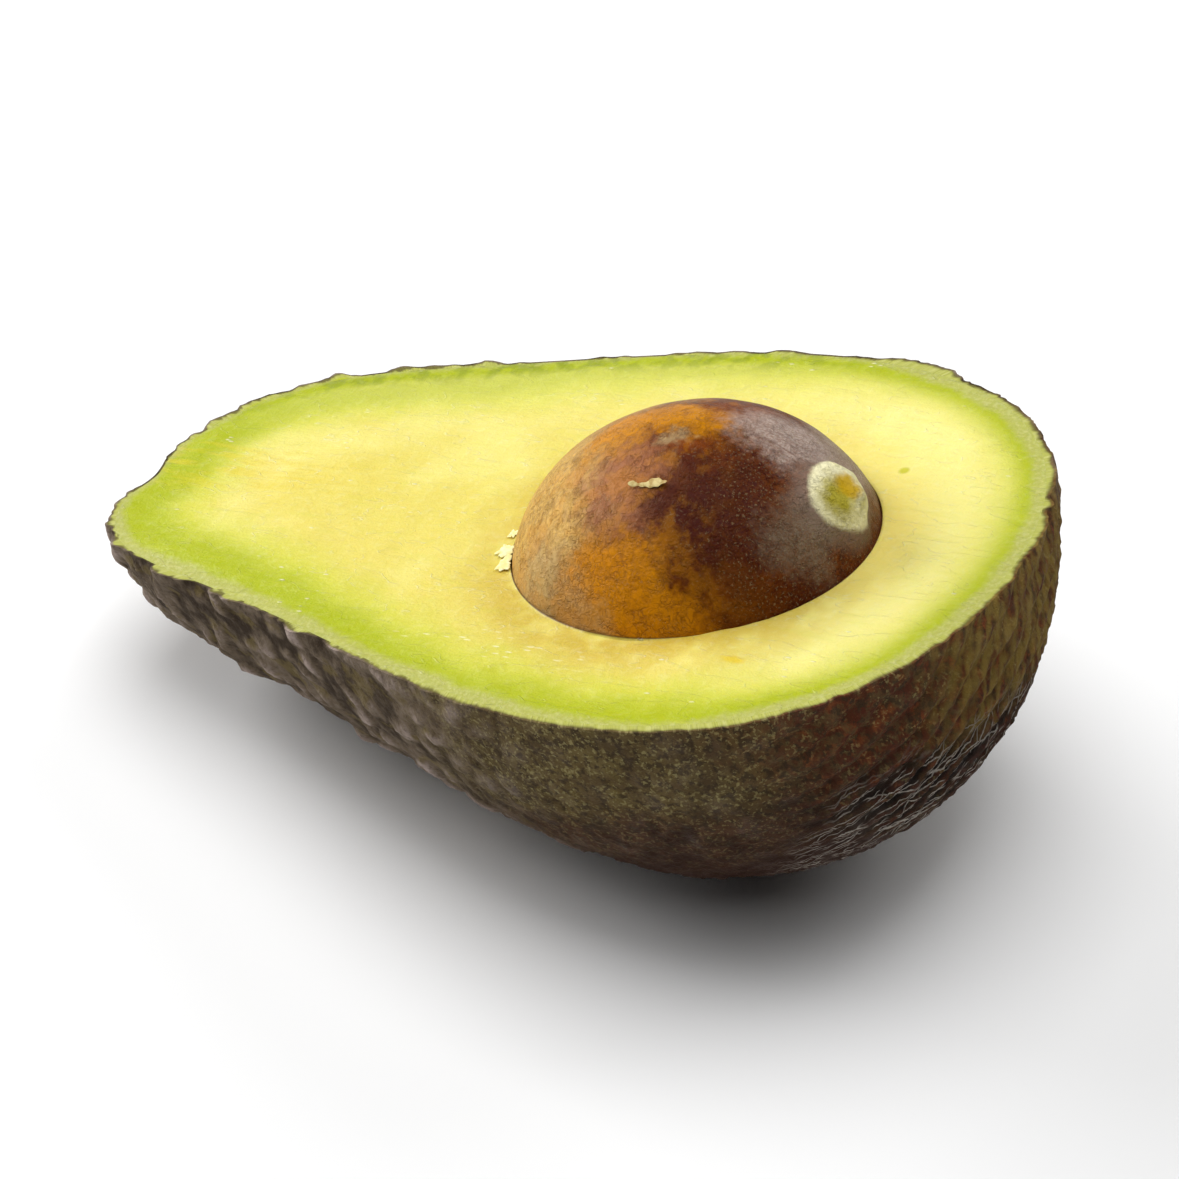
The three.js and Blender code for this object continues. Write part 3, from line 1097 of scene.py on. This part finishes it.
@dataclass(frozen=True)
class FleshFinish:
    """Moist flesh: pale at the peel, then a green band, then yellow green turning butter yellow."""

    pale: Colour = (0.420, 0.430, 0.095)
    tuft: Colour = (0.600, 0.590, 0.250)
    green: Colour = (0.400, 0.455, 0.012)
    lime: Colour = (0.595, 0.598, 0.064)
    butter: Colour = (0.730, 0.620, 0.130)
    cream: Colour = (0.850, 0.780, 0.260)
    # Warmer tan flesh round the stone, partly painted shadow of the stone: strongest in front of it, weaker
    # behind and to its right.
    warm_and_stone_shadow: Colour = (0.590, 0.425, 0.055)
    amber: Colour = (0.880, 0.700, 0.150)
    torn: Colour = (0.100, 0.080, 0.022)
    moss: Colour = (0.200, 0.250, 0.020)
    fleck: Colour = (0.820, 0.800, 0.480)
    strand: Colour = (0.740, 0.530, 0.015)
    dot: Colour = (0.520, 0.500, 0.010)
    # Painted shade: a thin dark line in the flesh where it meets the stone.
    line: Colour = (0.120, 0.045, 0.004)
    green_dot: Triple = (31.2, 13.5, 0.0)
    yellow_smear: Triple = (14.95, -19.1, 0.0)
    smear_scale: Triple = (0.5, 1.0, 0.0)
    stem_strands: Triple = (-10.0, -1.0, 0.0)
    strands_scale: Triple = (0.25, 1.0, 0.0)
    dash_band: Triple = (1.3, -22.6, 0.0)
    band_scale: Triple = (0.22, 1.0, 0.0)
    specular: float = 0.3
    scatter: float = 0.2
    scatter_radius: Triple = (1.0, 0.7, 0.15)
    scatter_depth: float = 1.2 * MM

    def cut_colour(self, sheet: NodeSheet, depth: Signal, fringe: Signal, place: Signal) -> Signal:
        """Colour of the cut face by its depth under the peel, the borders wavering a little.

        Args:
            sheet: the nodes to add to.
            depth: distance from the peel's outer line.
            fringe: width of the pale band.
            place: the point in millimetres.
        Returns:
            The colour, from the torn edge over pale, green and lime to butter.
        """
        waver = (sheet.noise(place, 6.0, 3.0) - 0.5) * 4.0 + (sheet.noise(place, 1.1, 3.0) - 0.5) * 1.0
        stem_side = 1.0 - sheet.part(place, "X").eased(-30.0, 12.0)
        soft = depth + (waver - stem_side * 2.4) * (depth / 5.0).at_most(1.0)
        inner = (depth + (sheet.noise(place, 0.8, 3.0) - 0.5) * 0.9) - fringe
        pale = sheet.mix(sheet.noise(place, 0.5, 3.0, 0.6).eased(0.42, 0.68) * 0.45, self.pale, self.tuft)
        ragged = depth + (sheet.noise(place, 1.6, 3.0) - 0.5) * (1.2 + stem_side * 3.0)
        return sheet.layered(
            pale,
            (inner.eased(-0.50, 0.90), self.green),
            (soft.eased(2.2, 7.0), self.lime),
            (soft.eased(4.6, 11.5), self.butter),
            ((1.0 - ragged.eased(0.1, 0.7)) * 0.85, self.torn),
        )

    def material(self) -> bpy.types.Material:
        """Colour by depth, warmer round the stone with painted shadow in front of it and a painted dark line
        along it, painted light towards the blunt end, and strands, flecks and a fine moist relief.

        Returns:
            The material.
        """
        sheet = NodeSheet(bpy.data.materials.new("flesh"))
        place = sheet.attribute("spot", "Vector")
        depth, near_stone, fringe = (sheet.attribute(key) for key in ("depth", "near_stone", "fringe"))
        x, y = sheet.part(place, "X"), sheet.part(place, "Y")
        inside = depth.eased(4.0, 9.0)
        pale_zone = sheet.noise(place, 15.0, 2.0).eased(0.46, 0.66)
        # Painted light: the flesh paler towards the blunt end and the back.
        lit_side = (x + y * 0.5).eased(12.0, 38.0)
        far = y.eased(2.0, 20.0) * (1.0 - x.eased(5.0, 25.0))
        # Painted light towards the blunt end, and paler cream at the back of the stem side.
        light = (lit_side * 0.4 * depth.eased(2.3, 5.5)).at_least(far * 0.3 * depth.eased(2.0, 3.5))
        mossy = sheet.noise(place, 2.2, 3.0).eased(0.44, 0.60) * (1.0 - depth.eased(1.5, 5.0)) * far
        beyond = (x + y * 0.5).eased(29.0, 37.0)
        # Warmer flesh near the stone and painted shadow in front of it, less behind and to the right.
        around = (1.0 - near_stone.eased(0.3, 7.5)) * (1.0 - y.eased(-20.0, -6.0) * 0.3)
        around = around * (1.0 - beyond * 0.75)
        lengthwise = sheet.noise(sheet.scaled(place, (0.16, 1.0, 1.0)), 1.3, 4.0, 0.6)
        stem = sheet.near(sheet.scaled(place, self.strands_scale), self.stem_strands, 1.0, 7.0)
        tone = sheet.noise(place, 0.9, 4.0, 0.65)
        fleck = 1.0 - sheet.dots(sheet.scaled(place, (0.5, 1.2, 1.0)), 1.5).eased(0.05, 0.14)
        fleck = fleck * sheet.noise(place, 7.0, 2.0).eased(0.5, 0.6)
        dash = 1.0 - sheet.dots(sheet.scaled(place, (0.42, 1.5, 1.0)), 0.9).eased(0.12, 0.26)
        dash = dash * sheet.near(sheet.scaled(place, self.band_scale), self.dash_band, 1.2, 3.4)
        smear = sheet.distance(sheet.scaled(place, self.smear_scale), self.yellow_smear)
        scratch = sheet.web(sheet.scaled(place, (0.10, 0.32, 1.0)), 1.0, 0.006) * tone.eased(0.4, 0.55)
        colour = sheet.layered(
            self.cut_colour(sheet, depth, fringe, place),
            # Cream at random inside the green band, and painted light towards the blunt end.
            ((pale_zone * 0.5 + lit_side * 0.8) * inside, self.cream),
            (light, self.cream),
            (mossy * 0.6, self.moss),
            (around * sheet.noise(place, 4.0, 2.0).eased(0.22, 0.58), self.warm_and_stone_shadow),
            (beyond * (0.65 - near_stone.eased(0.5, 7.0) * 0.65), self.amber),
            (stem * lengthwise.eased(0.42, 0.62) * 0.4, self.strand),
            ((tone - 0.5).at_least(0.0) * (0.45 + inside * 0.45), self.fleck),
            (lengthwise.eased(0.5, 0.75) * 0.22, self.lime),
            (fleck * 0.75, self.fleck),
            (dash * 0.7, self.fleck),
            (sheet.near(place, self.green_dot, 0.3, 0.75) * 0.8, self.dot),
            ((1.0 - (smear + tone * 0.6).eased(0.5, 1.1)) * 0.7, self.strand),
            (scratch * 0.35 * inside, self.fleck),
            # Painted shade along the stone's edge.
            (1.0 - near_stone.eased(0.0, 0.14), self.line),
        )
        height = tone * 0.16 + lengthwise * 0.10 + fleck * 0.08 + scratch * 0.05
        rough = 0.40 + (sheet.noise(place, 1.5, 3.0) - 0.5) * 0.3
        return sheet.finish(
            {
                "Base Color": colour,
                "Roughness": rough,
                "Specular IOR Level": self.specular,
                "Subsurface Weight": self.scatter,
                "Subsurface Radius": self.scatter_radius,
                "Subsurface Scale": self.scatter_depth,
                "Normal": sheet.bump(height),
            }
        )


@dataclass(frozen=True)
class ScrapFinish:
    """Two mottled tones with a soft bump, for a small dry or torn scrap."""

    name: str
    light: Colour
    dark: Colour
    size: float
    roughness: float
    height: float

    def material(self) -> bpy.types.Material:
        """Light over dark by noise, which also feeds the roughness and the bump.

        Returns:
            The material.
        """
        sheet = NodeSheet(bpy.data.materials.new(self.name))
        tone = sheet.noise(sheet.place_mm(), self.size, 3.0)
        return sheet.finish(
            {
                "Base Color": sheet.mix(tone.eased(0.35, 0.6), self.dark, self.light),
                "Roughness": self.roughness + tone * 0.1,
                "Normal": sheet.bump(tone * self.height),
            }
        )


CRUMB_FINISH = ScrapFinish("crumb", (0.90, 0.86, 0.50), (0.86, 0.78, 0.32), 0.6, 0.45, 0.2)
HUSK_FINISH = ScrapFinish("husk", (0.62, 0.50, 0.20), (0.40, 0.26, 0.06), 0.5, 0.6, 0.1)


@dataclass
class Crumbs:
    """Small shreds of flesh that cling to the lip of the hollow, left of the stone."""

    fruit: Fruit
    places: tuple[Triple, ...] = ((-2.75, -5.4, 0.55), (-2.00, -8.1, 0.75), (-0.90, -10.2, 0.80))
    stretch: Triple = (0.95, 1.5, 0.15)
    lift: float = 0.10
    tears: tuple[Ripple, ...] = (Ripple(0.55, 1 / 1.9, 61), Ripple(0.30, 1 / 4.5, 62))
    rings: int = 24
    columns: int = 40

    def build(self) -> list[bpy.types.Object]:
        """A flattened ball for each shred, its outline torn: the radius grows by noise of the angle round it.

        Each place holds x, y and a size.

        Returns:
            The shreds' objects.
        """
        unit, angle = ball(self.rings, self.columns), rim_angles(self.columns)
        made = []
        for number, (x, y, size) in enumerate(self.places, start=1):
            around = np.stack([np.cos(angle), np.sin(angle), np.full_like(angle, number)], axis=-1)
            torn = 1.0 + rippled(self.tears, around)
            grown = size * np.stack([torn, torn, np.ones_like(torn)], axis=-1) * np.array(self.stretch)
            points = self.fruit.laid_down(np.array([x, y, self.lift]) + unit * grown)
            made.append(closed_object(f"avocado_crumb_{number}", points, {}, Turned.OVER))
        return made


# ---- Stone -------------------------------------------------------------------


@dataclass
class Stone:
    """The brown ovoid with the pale button where it hung in the fruit."""

    fruit: Fruit
    ovoid: Ovoid
    columns: int = 380
    rings: int = 210
    scar_lift: float = math.radians(14.5)
    scar_height: float = 1.9
    scar_radius: float = 3.55
    peak: Pair = (0.6, -1.1)
    peak_height: float = 0.6
    peak_radius: float = 0.8
    hollow: Pair = (-0.1, 0.6)
    hollow_depth: float = 0.55
    hollow_radius: float = 1.3
    button_edge: Ripple = Ripple(0.12, 1 / 8.0, 51)
    button_relief: tuple[Ripple, ...] = (Ripple(0.26, 1.1, 52), Ripple(0.10, 0.5, 53))
    dents: tuple[Ripple, ...] = (Ripple(0.12, 1 / 2.3, 54), Ripple(0.04, 1 / 7.0, 55))

    def button_place(self, plain: Array) -> Array:
        """Place of each point on the button: millimetres across, up and away from its middle.

        Args:
            plain: points of the plain ovoid, shape (..., 3).
        Returns:
            The three measures of each point.
        """
        cosine, sine = math.cos(self.scar_lift), math.sin(self.scar_lift)
        offset = plain - self.ovoid.radii * np.array([cosine, 0.0, sine])
        up = offset[..., 2] * cosine - offset[..., 0] * sine
        return np.stack([offset[..., 1], up, np.linalg.norm(offset, axis=-1)], axis=-1)

    def build(self) -> bpy.types.Object:
        """Ovoid whose poles lie sideways in the flesh, raised by a rough button near its blunt end.

        A point is the unit sphere's, stretched to the ovoid. The button is a bell of the third power of
        the distance from its middle, with a small peak on one side, a hollow on the other and coarse noise.

        Returns:
            The stone's object.
        """
        unit = ball(self.rings, self.columns)[..., [0, 2, 1]]
        plain = unit * self.ovoid.radii
        button = self.button_place(plain)
        reach = button[..., 2] * (1.0 + self.button_edge.at(unit))
        bell = np.exp(-((reach / self.scar_radius) ** 3))
        to_peak = np.hypot(button[..., 0] - self.peak[0], button[..., 1] - self.peak[1])
        to_hollow = np.hypot(button[..., 0] - self.hollow[0], button[..., 1] - self.hollow[1])
        top = self.scar_height + rippled(self.button_relief, plain)
        top = top + self.peak_height * np.exp(-((to_peak / self.peak_radius) ** 2))
        top = top - self.hollow_depth * np.exp(-((to_hollow / self.hollow_radius) ** 2))
        local = plain + unit * (bell * top + rippled(self.dents, unit))[..., None]
        points = local @ self.ovoid.turn.T + np.array(self.ovoid.centre)
        spoke = unit / np.maximum(1e-6, np.hypot(unit[..., 1], unit[..., 2]))[..., None]
        fibre = np.stack([unit[..., 0], spoke[..., 1], spoke[..., 2]], axis=-1)
        values = {"reach": reach, "spot": unit, "fibre": fibre, "button": button}
        return closed_object("avocado_stone", self.fruit.laid_down(points), values)


@dataclass(frozen=True)
class Blotch:
    """A soft patch of colour on the stone, at a direction from its middle, full inside and gone outside."""

    centre: Triple
    inner: float
    outer: float
    colour: Colour
    strength: float = 1.0


TAN: Colour = (0.64, 0.385, 0.095)
MAUVE: Colour = (0.34, 0.130, 0.055)
ORANGE: Colour = (0.58, 0.225, 0.003)
AMBER: Colour = (0.60, 0.220, 0.002)
RUSSET: Colour = (0.27, 0.060, 0.002)
MAROON: Colour = (0.052, 0.005, 0.002)
UMBER: Colour = (0.150, 0.040, 0.002)
# Painted reflection: the grey sheen of the bright surroundings on the stone.
SHEEN_REFLECTION: Colour = (0.560, 0.450, 0.385)
SLATE: Colour = (0.225, 0.180, 0.125)
HUSK: Colour = (0.45, 0.315, 0.150)


@dataclass(frozen=True)
class SeedFinish:
    """Thin seed coat: maroon brown in the middle, amber and tan to the left, a painted grey reflection to the
    right.
    """

    base: Colour = (0.160, 0.036, 0.002)
    dark: Colour = (0.055, 0.007, 0.002)
    button: Colour = (0.92, 0.86, 0.54)
    ochre: Colour = (0.60, 0.37, 0.006)
    moss: Colour = (0.42, 0.35, 0.012)
    ring: Colour = (0.32, 0.245, 0.190)
    speck: Colour = (0.40, 0.31, 0.17)
    moss_place: Triple = (-1.2, 0.3, 0.0)
    ochre_place: Triple = (0.5, 0.2, 0.0)
    specular: float = 0.07
    blotches: tuple[Blotch, ...] = (
        Blotch((-0.50, -0.35, 0.80), 0.35, 0.85, TAN),
        Blotch((-0.25, 0.60, 0.75), 0.25, 0.75, TAN, 0.8),
        Blotch((0.30, 0.85, 0.40), 0.15, 0.50, AMBER, 0.8),
        Blotch((0.20, -0.42, 0.88), 0.12, 0.44, MAUVE),
        Blotch((0.04, 0.02, 1.00), 0.10, 0.30, ORANGE),
        Blotch((0.30, 0.14, 0.94), 0.10, 0.26, ORANGE),
        Blotch((0.50, 0.10, 0.86), 0.05, 0.20, ORANGE, 0.8),
        Blotch((0.39, -0.10, 0.91), 0.03, 0.14, HUSK, 0.8),
        Blotch((0.53, -0.18, 0.83), 0.03, 0.16, RUSSET, 0.8),
        Blotch((0.08, -0.88, 0.46), 0.22, 0.44, AMBER),
        Blotch((0.30, -0.94, 0.14), 0.16, 0.36, AMBER, 0.85),
        Blotch((-0.36, -0.71, 0.60), 0.10, 0.36, HUSK, 0.65),
        Blotch((-0.14, -0.92, 0.38), 0.05, 0.26, HUSK, 0.55),
        Blotch((0.60, -0.42, 0.66), 0.16, 0.42, MAROON),
        Blotch((0.66, -0.60, 0.44), 0.14, 0.40, MAROON),
        Blotch((0.64, -0.76, 0.14), 0.10, 0.32, UMBER, 0.8),
        Blotch((0.57, 0.28, 0.78), 0.08, 0.26, RUSSET, 0.5),
        # Painted reflection on the stone's right.
        Blotch((0.76, 0.18, 0.62), 0.12, 0.36, SHEEN_REFLECTION, 0.85),
        Blotch((0.92, -0.34, 0.22), 0.08, 0.34, SLATE, 0.8),
        Blotch((0.75, 0.62, 0.15), 0.12, 0.40, SLATE, 0.7),
        Blotch((0.85, -0.53, -0.02), 0.06, 0.24, MAROON, 0.8),
        # Painted reflection on the stone's right.
        Blotch((0.90, 0.38, 0.28), 0.14, 0.42, SHEEN_REFLECTION, 0.7),
    )

    def button_tone(self, sheet: NodeSheet, place: Signal, button_place: Signal) -> Signal:
        """Pale button with a mossy side and an ochre middle, whose borders stray by noise.

        Args:
            sheet: the nodes to add to.
            place: the point in millimetres.
            button_place: the point's place on the button, across and up.
        Returns:
            The colour.
        """
        across = sheet.scaled(button_place, (1.0, 1.0, 0.0))
        across = sheet.moved(across, sheet.noise_vector(place, 1.1, 1.6, 3.0))
        return sheet.layered(
            self.button,
            (sheet.noise(place, 1.3, 3.0).eased(0.45, 0.62) * 0.2, self.moss),
            (sheet.near(across, self.moss_place, 0.8, 2.5) * 0.95, self.moss),
            (sheet.near(across, self.ochre_place, 0.6, 1.8) * 0.95, self.ochre),
        )

    def material(self) -> bpy.types.Material:
        """Blotches over the base colour, fibres two ways, specks and the button's own tones.

        Returns:
            The material.
        """
        sheet = NodeSheet(bpy.data.materials.new("seed"))
        place = sheet.place_mm()
        reach = sheet.attribute("reach")
        spot, fibre, button_place = (sheet.attribute(key, "Vector") for key in ("spot", "fibre", "button"))
        warped = sheet.moved(spot, sheet.noise_vector(place, 4.0, 0.34, 5.0))
        warped = sheet.moved(warped, sheet.noise_vector(place, 0.8, 0.20, 4.0))
        veins = sheet.noise(sheet.scaled(fibre, (1.2, 14.0, 14.0)), 1.0, 4.0, 0.65)
        bands = sheet.noise(sheet.scaled(spot, (9.0, 3.6, 3.6)), 1.0, 5.0, 0.7)
        mottle = sheet.noise(place, 0.6, 4.0, 0.75)
        web = sheet.web(place, 1.3, 0.05, 3.0)
        crinkle = sheet.web(place, 0.7, 0.05, 4.0) * sheet.noise(place, 2.2, 2.0).eased(0.40, 0.60)
        right = sheet.part(spot, "X").eased(0.45, 0.75)
        left = 1.0 - right
        leather = 1.0 - sheet.noise(sheet.scaled(spot, (24.0, 16.0, 16.0)), 1.0, 5.0, 0.7).eased(0.36, 0.50)
        golden = sheet.noise(place, 2.6, 4.0, 0.6).eased(0.46, 0.62) * left
        grit = sheet.noise(place, 0.24, 3.0, 0.6).eased(0.45, 0.58) * right
        sparse = sheet.noise(place, 3.0, 2.0).eased(0.50, 0.66) * 0.5 + right * 0.8
        speck = sheet.noise(place, 0.26, 3.0, 0.6).eased(0.55, 0.68) * sparse.at_most(1.0)
        # Painted shade: the stone darker towards its lower side, where it sinks into the hollow.
        rim = 1.0 - sheet.part(spot, "Z").eased(-0.30, 0.06)
        edge = 1.0 - (reach + (mottle - 0.5) * 0.5).eased(3.2, 3.8)
        worn = 0.62 + mottle.eased(0.3, 0.62) * 0.38
        blotches = (
            (sheet.near(warped, one.centre, one.inner, one.outer) * worn * one.strength, one.colour)
            for one in self.blotches
        )
        colour = sheet.layered(
            sheet.mix(mottle.eased(0.35, 0.62), self.dark, self.base),
            *blotches,
            (bands.eased(0.55, 0.78) * left * 0.2, HUSK),
            ((1.0 - bands.eased(0.30, 0.48)) * left * 0.3, UMBER),
            (leather * 0.13, UMBER),
            (web * mottle.eased(0.4, 0.6) * 0.22, UMBER),
            (crinkle * left * 0.28, UMBER),
            (golden * 0.3, ORANGE),
            (veins.eased(0.54, 0.7) * right * 0.45, MAROON),
            (grit * 0.36, UMBER),
            (speck * 0.42, self.speck),
            # Painted shade low on the stone.
            (rim * 0.6, MAROON),
            ((1.0 - reach.eased(3.6, 6.0)) * 0.5, self.ring),
            (edge, self.button_tone(sheet, place, button_place)),
        )
        height = mottle * 0.10 - leather * 0.05 - crinkle * 0.07 + veins * 0.08 + speck * 0.05 + web * 0.03
        rough = 0.40 + (mottle - 0.5) * 0.35 + edge * 0.3
        return sheet.finish(
            {
                "Base Color": colour,
                "Roughness": rough,
                "Specular IOR Level": self.specular,
                "Normal": sheet.bump(height),
            }
        )


@dataclass
class Shred:
    """A torn strip of seed coat that stands off the stone at its ends."""

    fruit: Fruit
    ovoid: Ovoid
    spot: Triple = (0.326, -0.438, 0.838)
    heading: Triple = (0.93, 0.22, 0.10)
    half_length: float = 2.0
    half_width: float = 0.42
    half_thickness: float = 0.06
    stand_off: float = 0.16
    curl: float = 0.42
    rings: int = 40
    columns: int = 20

    def build(self) -> bpy.types.Object:
        """Strip along a heading over the stone: a wavy lens wide, lifted by the square of the place along it.

        The lens is the root of one less the fourth power. What the round stone falls away is taken off.

        Returns:
            The strip's object.
        """
        unit = np.array(self.spot) / np.linalg.norm(self.spot)
        normal = unit / self.ovoid.radii
        normal = self.ovoid.turn @ (normal / np.linalg.norm(normal))
        middle = self.ovoid.turn @ (unit * self.ovoid.radii) + np.array(self.ovoid.centre)
        heading = np.array(self.heading)
        heading = heading - normal * (heading @ normal)
        heading /= np.linalg.norm(heading)
        side = np.cross(normal, heading)
        u = np.linspace(-1.0, 1.0, self.rings)[:, None]
        angle = rim_angles(self.columns)[None, :]
        wavy = 0.85 + 0.4 * np.sin(4.5 * u + 0.2) + 0.15 * np.sin(15.0 * u)
        lens = np.sqrt(np.maximum(0.0, 1.0 - u**4)) * wavy
        across = self.half_width * lens * np.cos(angle) + 0.06 * np.sin(5.0 * u)
        round_under = (self.half_length * u) ** 2 / self.ovoid.width
        lift = self.stand_off + self.curl * u**2 - round_under + self.half_thickness * lens * np.sin(angle)
        along = self.half_length * u * np.ones_like(angle)
        points = middle + along[..., None] * heading + across[..., None] * side + lift[..., None] * normal
        points[0], points[-1] = points[0].mean(0), points[-1].mean(0)
        return closed_object("avocado_husk", self.fruit.laid_down(points), {})


# ---- Studio ------------------------------------------------------------------


@dataclass(frozen=True)
class Softbox:
    """A square lamp that looks at the fruit."""

    name: str
    place: Triple
    side: float
    watts: float


@dataclass(frozen=True)
class Studio:
    """White floor, white surroundings, soft lamps and the camera."""

    camera_place: Triple = (0.1555, -0.2836, 0.2927)
    aim: Triple = (-0.007, 0.0, 0.021)
    lens: float = 130.0
    nearest: float = 0.01
    floor_side: float = 6.0
    floor_tone: Colour = (0.93, 0.93, 0.93)
    floor_roughness: float = 0.9
    white: Colour = (1.0, 1.0, 1.0)
    surroundings: float = 0.012
    backdrop: float = 1.0
    floor_fade: Pair = (420.0, 1000.0)
    softboxes: tuple[Softbox, ...] = (
        Softbox("top_lamp", (0.0, 0.0, 1.4), 1.0, 11.5),
        Softbox("front_lamp", (0.232, -0.419, 1.316), 1.0, 4.5),
        Softbox("left_lamp", (-1.315, 0.023, 0.479), 1.0, 21.0),
        Softbox("back_lamp", (0.341, 1.049, 0.862), 1.0, 5.6),
    )

    def build(self) -> None:
        """Makes the floor, the world, the lamps and the camera."""
        self.floor()
        self.world()
        for softbox in self.softboxes:
            self.lamp(softbox)
        self.camera()
        bpy.context.scene.view_settings.view_transform = "Standard"

    def floor(self) -> None:
        """A wide plain sheet at height zero that fades into the backdrop, over a distance in millimetres."""
        half = self.floor_side / 2
        corners = [(-half, -half, 0.0), (half, -half, 0.0), (half, half, 0.0), (-half, half, 0.0)]
        mesh = bpy.data.meshes.new("floor")
        mesh.from_pydata(corners, [], [(0, 1, 2, 3)])
        floor = bpy.data.objects.new("floor", mesh)
        bpy.context.scene.collection.objects.link(floor)
        sheet = NodeSheet(bpy.data.materials.new("floor"))
        away = sheet.distance(sheet.place_mm(), (0.0, 0.0, 0.0))
        shown = 1.0 - away.eased(*self.floor_fade)
        inputs = {"Base Color": self.floor_tone, "Roughness": self.floor_roughness, "Alpha": shown}
        mesh.materials.append(sheet.finish(inputs))

    def world(self) -> None:
        """Surroundings that light the fruit very little, and look white to the camera beyond the floor."""
        world = bpy.data.worlds.new("surroundings")
        sheet = NodeSheet(world)
        seen = sheet.node("ShaderNodeLightPath", output="Is Camera Ray")
        strength = seen * (self.backdrop - self.surroundings) + self.surroundings
        light = sheet.node("ShaderNodeBackground", None, {"Color": self.white, "Strength": strength})
        sheet.node("ShaderNodeOutputWorld", None, {"Surface": light})
        bpy.context.scene.world = world

    def aimed(self, name: str, data: bpy.types.ID, place: Triple) -> bpy.types.Object:
        """Puts a lamp or a camera at a place, looking at the aim and upright.

        Args:
            name: the object's name.
            data: the light or the camera.
            place: where it stands, in metres.
        Returns:
            The object, linked to the scene.
        """
        made = bpy.data.objects.new(name, data)
        made.location = place
        made.rotation_mode = "QUATERNION"
        made.rotation_quaternion = (Vector(self.aim) - Vector(place)).to_track_quat("-Z", "Y")
        bpy.context.scene.collection.objects.link(made)
        return made

    def lamp(self, softbox: Softbox) -> None:
        """Makes one lamp that the camera doesn't see.

        Args:
            softbox: its place, size and power.
        """
        light = bpy.data.lights.new(softbox.name, "AREA")
        light.shape = "SQUARE"
        light.size = softbox.side
        light.energy = softbox.watts
        self.aimed(softbox.name, light, softbox.place).visible_camera = False

    def camera(self) -> None:
        """Makes the camera and gives it to the scene."""
        data = bpy.data.cameras.new("camera")
        data.lens = self.lens
        data.clip_start = self.nearest
        bpy.context.scene.camera = self.aimed("camera", data, self.camera_place)


# ---- Putting it together -----------------------------------------------------


def settle(
    piece: bpy.types.Object, material: bpy.types.Material, node: Optional[str] = None
) -> None:
    """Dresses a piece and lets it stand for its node.

    Args:
        piece: the finished mesh object.
        material: its finish.
        node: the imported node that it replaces, if it replaces one.
    """
    piece.data.materials.append(material)
    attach(piece, "root")
    if node:
        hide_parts(node)
    size = np.ptp(np.array(piece.bound_box), axis=0) / MM
    log.info("%s: %d faces, %s mm", piece.name, len(piece.data.polygons), np.round(size, 1))


def main() -> None:
    """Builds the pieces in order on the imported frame."""
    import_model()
    Studio().build()
    fruit, ovoid = Fruit(), Ovoid()
    settle(Peel(fruit).build(), PeelFinish().material(), "skin")
    settle(Flesh(fruit, ovoid).build(), FleshFinish().material(), "flesh")
    settle(Stone(fruit, ovoid).build(), SeedFinish().material(), "stone")
    settle(Shred(fruit, ovoid).build(), HUSK_FINISH.material())
    crumb = CRUMB_FINISH.material()
    for piece in Crumbs(fruit).build():
        settle(piece, crumb)


if __name__ == "__main__":
    main()
